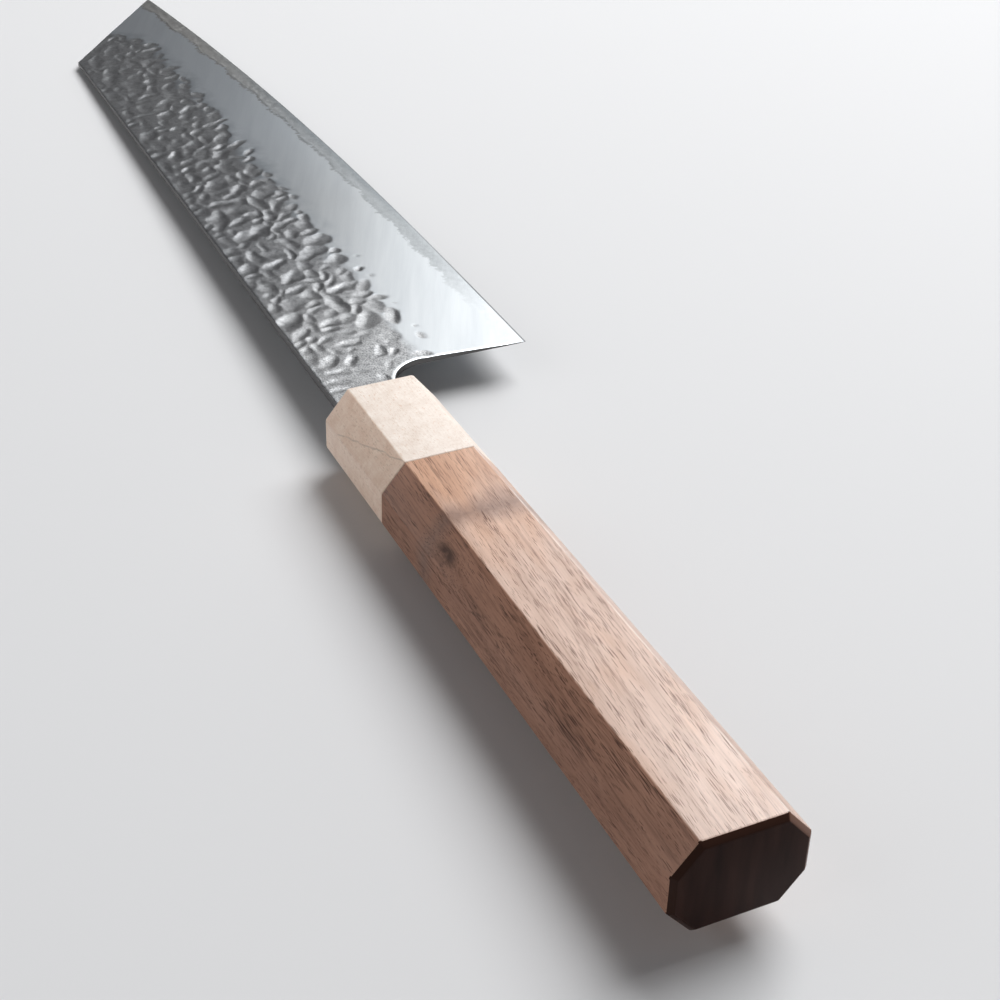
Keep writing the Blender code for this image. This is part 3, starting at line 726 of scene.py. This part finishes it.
def cladding(name, side, material, dents):
    """One layer: hammered and ground outside, flat inside, with a tang."""
    forged = forged_half(flank_x, flank_y) - hammered(flank_x, flank_y, dents)
    ground = ground_half(flank_x, flank_y)
    ground[:, :neck_columns] = 2 * half_neck
    half = np.minimum(forged, ground)
    half = np.maximum(rounded_rim(flank_x, flank_y, half), half_core + least_cladding)
    piece = moved_grid(flank_x, flank_y, side * half)
    skin = np.clip((ground - forged) / skin_fade, 0.0, 1.0)

    # The rim of the choil is polished, so the skin stops before it
    skin *= np.clip(2.0 * back_distance(flank_x, flank_y) / choil_rim - 1.2, 0.0, 1.0)
    notes = {
        "skin": skin,
        "dents below": np.clip((ground - forged) / deep_skin, 0.0, 1.0),
        "near skin": np.clip(1.0 - (forged - ground) / near_skin, 0.0, 1.0),
        "above core": (flank_y - core_line_y(flank_x)) / height_unit,
    }
    for note, values in notes.items():
        layer = piece.data.attributes.new(note, "FLOAT", "POINT")
        layer.data.foreach_set("value", values.reshape(-1).astype(np.float32))

    # Under the neck, behind the arc, there is no steel
    only(piece)
    open_corner = np.zeros((len(row_shares) - 1, flank_x.shape[1] - 1), bool)
    open_corner[:neck_row, :neck_columns] = True
    bpy.context.tool_settings.mesh_select_mode = (False, False, True)
    bpy.ops.object.mode_set(mode="EDIT")
    bpy.ops.mesh.select_all(action="DESELECT")
    bpy.ops.object.mode_set(mode="OBJECT")
    piece.data.polygons.foreach_set("select", open_corner.reshape(-1))
    bpy.ops.object.mode_set(mode="EDIT")
    bpy.ops.mesh.delete(type="FACE")
    bpy.ops.object.mode_set(mode="OBJECT")

    # The tang is drawn out of the middle of the neck's end
    tang_root = tang_profile[0][1] * mm
    select_edges(piece, lambda p: (p[:, 0] < 0.01 * mm - neck_seat) & (np.abs(p[:, 1]) < tang_root))
    for (from_x, from_y), (to_x, to_y) in zip(tang_profile, tang_profile[1:]):
        bpy.ops.mesh.extrude_edges_move(TRANSFORM_OT_translate={"value": ((to_x - from_x) * mm, 0, 0)})
        bpy.ops.transform.resize(value=(1, to_y / from_y, 1), center_override=(0, 0, 0))

    select_rim()
    drop_to(side * half_core)
    bpy.ops.mesh.edge_face_add()
    outward_faces()
    finish_piece(piece, name + "_layer", material)
    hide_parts(name)


# Dark and light of the forged skin by the neck, along the blade and at the tip, and of the far polish. The
# skin is painted darker along the middle and the far polish lighter than the heel's, as painted reflection.
neck_skin = (0.195, 0.201, 0.207, 1), (0.55, 0.56, 0.57, 1)
blade_skin = (0.158, 0.165, 0.174, 1), (0.465, 0.477, 0.492, 1)
tip_skin = (0.185, 0.193, 0.203, 1), (0.545, 0.56, 0.575, 1)
border_colour = (0.13, 0.135, 0.145, 1)
painted_shade_below_skin_colour = (0.34, 0.385, 0.425, 1)
far_polish_painted_bright = (0.64, 0.695, 0.745, 1), (0.70, 0.755, 0.80, 1)

clad_steel, tree, place = new_material("hammered and ground soft steel")
marks = use_group(tree, stone_marks, {"Place": place, "Slant": stone_slant})
skin = noted(tree, "skin")
along = put(tree, "SeparateXYZ", {0: place}).outputs[0]

# The forged skin is sandy by the neck, pitted all over, and darker where it meets the grind
sandy = along_blade(tree, along, 18, 44, 1.0, 0.22)
sand = maths(tree, "SUBTRACT", noise(tree, place, 2700.0, 1.5, 0.6), 0.5)
pits = maths(tree, "SUBTRACT", noise(tree, place, 800.0, 3.0, 0.6), 0.5)
forge_tone = maths(tree, "MULTIPLY_ADD", product(tree, sand, sandy), 2.9, product(tree, pits, 1.2))
forge_tone = ranged(tree, forge_tone, -0.5, 0.5)
neck_colour = blended(tree, forge_tone, *neck_skin)
blade_colour = blended(tree, forge_tone, *blade_skin)
tip_colour = blended(tree, forge_tone, *tip_skin)
# Along the blade the skin is painted lighter by the neck and at the tip than in the middle, as painted
# reflection
forge_colour = blended(tree, along_blade(tree, along, 38, 75), neck_colour, blade_colour)
forge_colour = blended(tree, along_blade(tree, along, 130, 175), forge_colour, tip_colour)
border = ranged(tree, noted(tree, "dents below"), 0.04, 0.24, 1.0, 0.0)
border = product(tree, border, along_blade(tree, along, 80, 140, 0.0, 0.55))
forge_colour = blended(tree, border, forge_colour, border_colour)

# The ground flank carries the marks of the stones, and clouds where the core is about to show
scratches = maths(tree, "SUBTRACT", marks["Scratches"], 0.5)
polish_tone = maths(tree, "MULTIPLY_ADD", scratches, 0.5, marks["Bands"])
polish_tone = ranged(tree, polish_tone, 0.25, 0.75)
# The polish is painted darker by the heel and lighter beyond, as painted reflection
heel_colour = blended(tree, polish_tone, *heel_polish_painted_dim)
far_colour = blended(tree, polish_tone, *far_polish_painted_bright)
polish_colour = blended(tree, along_blade(tree, along, 100, 150), heel_colour, far_colour)
above_core = product(tree, noted(tree, "above core"), 10.0)
cloud = noise(tree, place, 900.0, 3.0, 0.6)
cloud_edge = ranged(tree, cloud, 0.35, 0.70, 0.0, 1.5)
as_core = ranged(tree, maths(tree, "SUBTRACT", above_core, cloud_edge), -0.4, 0.4, 1.0, 0.0)
clouds = noise(tree, place, 620.0, 4.0, 0.6)
cloud_tone = ranged(tree, maths(tree, "MULTIPLY_ADD", clouds, 0.7, 0.15), 0.35, 0.65)
polish_colour = blended(tree, as_core, polish_colour, core_colour(tree, along, cloud_tone))
# Just below the forged skin, bluish painted shade clouds the polish
painted_shade_below_skin = ranged(tree, noise(tree, place, 260.0, 3.0), 0.36, 0.60, 0.0, 0.6)
painted_shade_below_skin = product(tree, noted(tree, "near skin"), painted_shade_below_skin)
painted_shade_below_skin = product(tree, painted_shade_below_skin, along_blade(tree, along, 40, 85))
polish_colour = blended(tree, painted_shade_below_skin, polish_colour, painted_shade_below_skin_colour)
colour = blended(tree, skin, polish_colour, forge_colour)
rim = on_rim(tree)
colour = blended(tree, rim, colour, rim_colour_with_painted_shade)
forged_height = maths(tree, "MULTIPLY_ADD", sand, product(tree, sandy, 0.8), product(tree, pits, 0.6))
forged_height = product(tree, forged_height, skin)
height = maths(tree, "ADD", forged_height, product(tree, scratches, 0.012))
bump = put(tree, "Bump", {"Strength": 0.6, "Distance": 0.00010, "Height": height}).outputs[0]
roughness = maths(tree, "MULTIPLY_ADD", rim, 0.1, ranged(tree, skin, 0.0, 1.0, 0.29, 0.30))
roughness = maths(tree, "MULTIPLY_ADD", product(tree, skin, sandy), 0.06, roughness)
surface(tree, {"Base Color": colour, "Metallic": 1.0, "Roughness": roughness, "Normal": bump})

cladding("cladding_right", 1, clad_steel, scattered_dents(5, 40, 0.47, right_face_dents))
cladding("cladding_left", -1, clad_steel, scattered_dents(23, 11, 0.42))

# Tang bedding
# Clear brown resin fills the slots round the tang and glues it in. Its front end shows as a thin dark
# line round the neck, in the mouth of the ferrule.

cured_resin, tree, place = new_material("cured resin")
resin_brown = (0.10, 0.070, 0.048, 1), (0.16, 0.115, 0.080, 1)
colour = blended(tree, noise(tree, place, 300.0, 3.0), *resin_brown)
roughness = ranged(tree, noise(tree, place, 900.0), 0.3, 0.7, 0.25, 0.4)
surface(tree, {"Base Color": colour, "Roughness": roughness})
dress("tang_bedding", cured_resin)

# Handle dowel
# A turned birch dowel lines up the ferrule and the handle body. It is slotted for the tang and hidden
# once the handle is glued up.


def vector_maths(tree, operation, first, second):
    """A Vector Math node."""
    return put(tree, "VectorMath", {0: first, 1: second}, operation=operation).outputs


# Timber: rings across the grain, fibres along it, and pores in clusters that drift with the rings
timber, given, kept = new_group(
    "timber",
    [
        ("Place", "Vector", None), ("Across", "Vector", (0.0, 250.0, 0.0)),
        ("Fibre scale", "Vector", (60.0, 5000.0, 5000.0)), ("Pore scale", "Vector", (300.0, 3000.0, 3000.0)),
        ("Pore share", "Float", 0.25), ("Wander", "Float", 1.0),
    ],
    ["Rings", "Fibres", "Pores"],
)
wander = noise(timber, stretched(timber, given["Place"], (25, 160, 160)), 1.0, 2.0)
ring = vector_maths(timber, "DOT_PRODUCT", given["Place"], given["Across"])["Value"]
ring = maths(timber, "MULTIPLY_ADD", wander, given["Wander"], ring)
rings = ranged(timber, maths(timber, "SINE", product(timber, ring, 2 * math.pi)), -1.0, 1.0)
fibre_place = vector_maths(timber, "MULTIPLY", given["Place"], given["Fibre scale"])[0]
fibres = noise(timber, fibre_place, 1.0, 3.0, 0.6)
drift = product(timber, maths(timber, "SUBTRACT", wander, 0.5), 1.6 * mm)
drift = put(timber, "CombineXYZ", {1: drift, 2: drift}).outputs[0]
pore_place = vector_maths(timber, "ADD", given["Place"], drift)[0]
pore_place = vector_maths(timber, "MULTIPLY", pore_place, given["Pore scale"])[0]
pore_middle = put(timber, "TexVoronoi", {"Vector": pore_place, "Scale": 1.0}).outputs["Distance"]
cluster = noise(timber, stretched(timber, given["Place"], (45, 700, 700)), 1.0, 2.0, 0.6)
pore_radius = maths(timber, "SUBTRACT", cluster, 0.5)
pore_radius = maths(timber, "MULTIPLY_ADD", pore_radius, 0.8, given["Pore share"])
pores = ranged(timber, pore_middle, maths(timber, "SUBTRACT", pore_radius, 0.07), pore_radius, 1.0, 0.0)
timber.links.new(rings, kept["Rings"])
timber.links.new(fibres, kept["Fibres"])
timber.links.new(pores, kept["Pores"])

birch, tree, place = new_material("turned birch")
figure = use_group(tree, timber, {"Place": place, "Across": (0.0, 0.0, 400.0), "Pore share": 0.12})
tone = maths(tree, "MULTIPLY_ADD", figure["Fibres"], 0.6, product(tree, figure["Rings"], 0.4))
birch_tan = (0.62, 0.47, 0.30, 1), (0.80, 0.67, 0.48, 1)
colour = blended(tree, tone, *birch_tan)
bump = put(tree, "Bump", {"Strength": 0.3, "Distance": 0.0001, "Height": figure["Fibres"]}).outputs[0]
surface(tree, {"Base Color": colour, "Roughness": ranged(tree, tone, 0.0, 1.0, 0.7, 0.55), "Normal": bump})
dress("handle_dowel", birch)

# Ferrule
# The collar at the front of the handle is pale maple, slotted for the neck, sanded flush with the body
# and oiled. Its arrises are only just eased.

arris_radius = 0.3 * mm
bore_reach = 9.0 * mm


def eased_copy(node, name, material, keep):
    """A copy of a wooden piece with its outer arrises rounded over."""
    piece = bpy.data.objects.new(name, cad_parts[node].data.copy())
    bpy.context.scene.collection.objects.link(piece)
    only(piece)
    bpy.ops.object.mode_set(mode="EDIT")
    bpy.ops.mesh.select_all(action="SELECT")
    bpy.ops.mesh.remove_doubles(threshold=wide_merge_distance)
    bpy.ops.mesh.dissolve_limited(angle_limit=math.radians(1))
    bpy.ops.object.mode_set(mode="OBJECT")
    piece.data.transform(Matrix.Translation(-zero))
    select_edges(piece, keep)
    bpy.ops.mesh.bevel(offset=arris_radius, offset_type="OFFSET", segments=3, profile=0.5, affect="EDGES")
    outward_faces()
    finish_piece(piece, name, material, smooth_up_to=25)
    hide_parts(node)
    return piece


# Dark and light of the maple: its broad faces, and its faces towards the spine, warmer in grain and painted
# lighter as lit
maple_face = (0.73, 0.615, 0.53, 1), (0.89, 0.81, 0.74, 1)
maple_side_painted_light = (0.83, 0.59, 0.45, 1), (0.99, 0.80, 0.66, 1)
maple_pore = (0.52, 0.37, 0.25, 1)
maple_fleck = (0.66, 0.44, 0.31, 1)
maple_ring = (0.30, 0.22, 0.17, 1)

maple, tree, place = new_material("oiled maple")
figure = use_group(tree, timber, {
    "Place": place, "Across": (20.0, 60.0, 190.0), "Fibre scale": (160.0, 4200.0, 4200.0),
    "Pore scale": (700.0, 2600.0, 2600.0), "Pore share": 0.24, "Wander": 2.0,
})
mottle = noise(tree, place, 330.0, 4.0, 0.6)
flecks = ranged(tree, noise(tree, stretched(tree, place, (1, 1.7, 1.7)), 1100.0, 2.0), 0.62, 0.72)
tone = maths(tree, "MULTIPLY_ADD", figure["Fibres"], 0.35, product(tree, mottle, 0.65))
grain = maths(tree, "SUBTRACT", noise(tree, place, 2300.0, 2.0, 0.6), 0.5)
tone = ranged(tree, maths(tree, "MULTIPLY_ADD", grain, 0.3, tone), 0.33, 0.67)
spineward = facing(tree)[1]
# Faces towards the spine take a lighter, warmer copy of the maple, partly painted light
side_colour_with_painted_light = blended(tree, tone, *maple_side_painted_light)
colour = blended(tree, ranged(tree, spineward, 0.25, 0.6), blended(tree, tone, *maple_face), side_colour_with_painted_light)
colour = blended(tree, product(tree, figure["Pores"], 0.30), colour, maple_pore)
colour = blended(tree, product(tree, flecks, 0.50), colour, maple_fleck)

# One growth ring shows as a thin broken line across the chamfer on the spine side
position = put(tree, "SeparateXYZ", {0: place}).outputs
ring_run = product(tree, maths(tree, "SUBTRACT", position[0], zero.x - 7.1 * mm), 0.21)
ring_off = maths(tree, "SUBTRACT", maths(tree, "SUBTRACT", position[1], zero.y + 12.0 * mm), ring_run)
ring_sway = product(tree, noise(tree, place, 260.0), 0.9 * mm)
ring_sway = maths(tree, "SUBTRACT", ring_sway, 0.45 * mm)
ring_off = maths(tree, "ABSOLUTE", maths(tree, "ADD", ring_off, ring_sway))
growth_line = ranged(tree, ring_off, 0.03 * mm, 0.17 * mm, 0.38, 0.0)
growth_line = product(tree, growth_line, ranged(tree, mottle, 0.40, 0.55, 0.35, 1.0))
growth_line = product(tree, growth_line, ranged(tree, spineward, 0.80, 0.95, 1.0, 0.0))
colour = blended(tree, growth_line, colour, maple_ring)
bump = put(tree, "Bump", {"Strength": 0.15, "Distance": 0.0001, "Height": figure["Fibres"]}).outputs[0]
surface(tree, {
    "Base Color": colour, "Roughness": ranged(tree, mottle, 0.3, 0.7, 0.42, 0.52), "Normal": bump,
})


def outer_arris(places):
    """Points of the octagon's outer arrises, but not of the bore."""
    return np.hypot(places[:, 1], places[:, 2]) > bore_reach


eased_copy("ferrule", "ferrule_collar", maple, outer_arris)

# Handle body
# The body is one length of walnut, octagonal and a little thicker at the butt, bevelled round its end
# grain. It is sanded fine and oiled, so the broad faces have a sheen and the open pores stay dark.

knot_place = zero + Vector((-56.3, 10.3, 5.9)) * mm
grain_slant = 2.5


def walnut_figure(tree, place):
    """Rings, fibres and pores of the body's timber: at a small slant to its axis, and bent round a knot."""
    from_knot = vector_maths(tree, "SUBTRACT", place, tuple(knot_place))[0]
    from_knot = vector_maths(tree, "MULTIPLY", from_knot, (0.45, 1.0, 1.0))[0]
    reach = put(tree, "VectorMath", {0: from_knot}, operation="LENGTH").outputs["Value"]
    sockets = {0: reach, 1: 0.0, 2: 5.0 * mm, 3: 1.6 * mm, 4: 0.0}
    pull = put(tree, "MapRange", sockets, interpolation_type="SMOOTHSTEP").outputs[0]
    bent = vector_maths(tree, "ADD", place, put(tree, "CombineXYZ", {1: pull}).outputs[0])[0]
    slanted = stretched(tree, bent, (1, 1, 1), (0.0, 0.0, math.radians(grain_slant)))
    figure = use_group(tree, timber, {
        "Place": slanted, "Across": (6.0, 230.0, 40.0), "Fibre scale": (60.0, 4600.0, 4600.0),
        "Pore scale": (185.0, 6600.0, 6600.0), "Pore share": 0.285, "Wander": 1.6,
    })
    lobes = ranged(tree, noise(tree, bent, 420.0, 2.0), 0.38, 0.52, 0.50, 1.0)
    knot = maths(tree, "MULTIPLY_ADD", figure["Fibres"], 1.6 * mm, reach)
    knot = ranged(tree, knot, 1.5 * mm, 2.9 * mm, 1.0, 0.0)
    return figure, slanted, product(tree, knot, lobes)


# Dark and light of the walnut: near the ferrule, near the butt, and on its faces towards the spine, which
# are painted darker as shade
walnut_front = (0.44, 0.245, 0.160, 1), (0.74, 0.46, 0.32, 1)
walnut_butt_with_sheen = (0.49, 0.335, 0.265, 1), (0.75, 0.558, 0.466, 1)
walnut_side_painted_shade = (0.27, 0.13, 0.083, 1), (0.48, 0.262, 0.180, 1)
band_colour = (0.255, 0.160, 0.125, 1)
line_colour = (0.17, 0.085, 0.058, 1)
streak_colours = (0.20, 0.105, 0.075, 1), (0.13, 0.062, 0.042, 1)
pore_colours = (0.125, 0.048, 0.026, 1), (0.055, 0.022, 0.013, 1)
knot_colour = (0.045, 0.022, 0.016, 1)
painted_arris_highlight_colour = (0.86, 0.78, 0.72, 1)

walnut, tree, place = new_material("oiled walnut")
figure, slanted, knot = walnut_figure(tree, place)
mottle = noise(tree, stretched(tree, slanted, (80, 300, 300)), 1.0, 4.0, 0.6)
warmth = noise(tree, stretched(tree, slanted, (60, 190, 190), shift=(0.3, 0.2, 0.1)), 1.0, 2.0, 0.5)
grit = noise(tree, place, 5200.0, 1.0)
tone = maths(tree, "MULTIPLY_ADD", figure["Fibres"], 0.5, product(tree, mottle, 0.5))
tone = maths(tree, "MULTIPLY_ADD", figure["Rings"], 0.12, tone)
tone = ranged(tree, maths(tree, "MULTIPLY_ADD", grit, 0.25, tone), 0.38, 0.98)
side_colour_with_painted_light = blended(tree, tone, *walnut_side_painted_shade)
front_colour = blended(tree, tone, *walnut_front)
butt_colour_with_sheen = blended(tree, tone, *walnut_butt_with_sheen)
position = put(tree, "SeparateXYZ", {0: place}).outputs
# Towards the butt the faces turn paler, partly the wood's own tone and partly painted sheen
paling_and_sheen = ranged(tree, position[0], zero.x - 75 * mm, zero.x - 32 * mm, 1.0, 0.0)
paling_and_sheen = maths(tree, "ADD", paling_and_sheen, ranged(tree, warmth, 0.35, 0.65, 0.3, -0.3))
face_colour = blended(tree, ranged(tree, paling_and_sheen, 0.0, 1.0), front_colour, butt_colour_with_sheen)
spineward = facing(tree)[1]
# The faces towards the spine take a darker copy of the walnut as painted shade
on_side = ranged(tree, spineward, 0.25, 0.6)
colour = blended(tree, on_side, face_colour, side_colour_with_painted_light)

# A darker band crosses the upper cheek, widest on the edge side
band_off = maths(tree, "ABSOLUTE", maths(tree, "SUBTRACT", position[0], zero.x - 50.3 * mm))
band_off = maths(tree, "ADD", band_off, product(tree, maths(tree, "SUBTRACT", warmth, 0.5), 5.0 * mm))
edge_side = ranged(tree, position[1], zero.y - 7 * mm, zero.y + 6 * mm, 1.0, 0.0)
band_reach = maths(tree, "MULTIPLY_ADD", edge_side, 3.2 * mm, 4.2 * mm)
band = ranged(tree, maths(tree, "DIVIDE", band_off, band_reach), 0.0, 1.0, 0.88, 0.0)
band = product(tree, band, ranged(tree, noise(tree, slanted, 900.0, 3.0, 0.7), 0.35, 0.6, 0.8, 1.0))
colour = blended(tree, band, colour, band_colour)

# Lines of fibre, longer streaks and open pores, all stronger on the faces towards the spine
streaks = noise(tree, stretched(tree, slanted, (26, 1900, 1900)), 1.0, 2.0, 0.6)
streaks = ranged(tree, streaks, 0.50, 0.70, 0.0, ranged(tree, on_side, 0.0, 1.0, 0.35, 0.55))
lines = ranged(tree, figure["Fibres"], 0.56, 0.70, 0.0, ranged(tree, on_side, 0.0, 1.0, 0.45, 0.65))
colour = blended(tree, lines, colour, line_colour)
colour = blended(tree, streaks, colour, blended(tree, on_side, *streak_colours))
pore_colour = blended(tree, on_side, *pore_colours)
colour = blended(tree, product(tree, figure["Pores"], 0.95), colour, pore_colour)
colour = blended(tree, product(tree, knot, 0.85), colour, knot_colour)
height = maths(tree, "SUBTRACT", product(tree, figure["Fibres"], 0.2), figure["Pores"])
bump = put(tree, "Bump", {"Strength": 0.2, "Distance": 0.00008, "Height": height}).outputs[0]

# A pale highlight line is painted on the eased arrises of the edge side, and the face towards the spine is
# duller
painted_arris_highlight = product(tree, ranged(tree, spineward, -0.10, -0.22), ranged(tree, spineward, -0.64, -0.52))
painted_arris_highlight = product(tree, painted_arris_highlight, ranged(tree, mottle, 0.42, 0.55, 0.15, 0.6))
colour = blended(tree, painted_arris_highlight, colour, painted_arris_highlight_colour)
roughness = ranged(tree, tone, 0.0, 1.0, 0.34, 0.27)
roughness = maths(tree, "MULTIPLY_ADD", ranged(tree, spineward, 0.8, 0.95), 0.45, roughness)
surface(tree, {
    "Base Color": colour, "Roughness": roughness, "Normal": bump, "Specular IOR Level": 0.38,
})

# Dark and light of the end grain, and of its bevel: darker away from the edge side, and painted lighter on
# it as lit by the window
end_grain = (0.018, 0.0056, 0.0038, 1), (0.046, 0.0175, 0.0120, 1)
end_bevel_shade_and_light = (0.034, 0.0135, 0.0085, 1), (0.17, 0.088, 0.062, 1)

walnut_end, tree, place = new_material("walnut end grain")
figure = walnut_figure(tree, place)[0]
bands = noise(tree, stretched(tree, place, (1, 380, 60)), 1.0, 2.0)
tone = maths(tree, "MULTIPLY_ADD", figure["Fibres"], 0.3, product(tree, bands, 0.7))
colour = blended(tree, ranged(tree, tone, 0.3, 0.7), *end_grain)
normal = facing(tree)
bevel = ranged(tree, maths(tree, "ABSOLUTE", normal[0]), 0.90, 0.98, 1.0, 0.0)
# Bevel faces towards the edge side are painted lighter, as painted light
lit_bevel_share = ranged(tree, normal[1], -0.1, -0.35)
colour = blended(tree, bevel, colour, blended(tree, lit_bevel_share, *end_bevel_shade_and_light))
surface(tree, {
    "Base Color": colour, "Roughness": ranged(tree, bevel, 0.0, 1.0, 0.42, 0.25),
    "Specular IOR Level": 0.08,
})

body = eased_copy("handle_body", "walnut_body", walnut, outer_arris)
body.data.materials.append(walnut_end)
butt_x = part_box("handle_body")[0].x
for face in body.data.polygons:
    if face.normal.x < -0.4 and face.center.x < butt_x + 2 * mm:
        face.material_index = 1
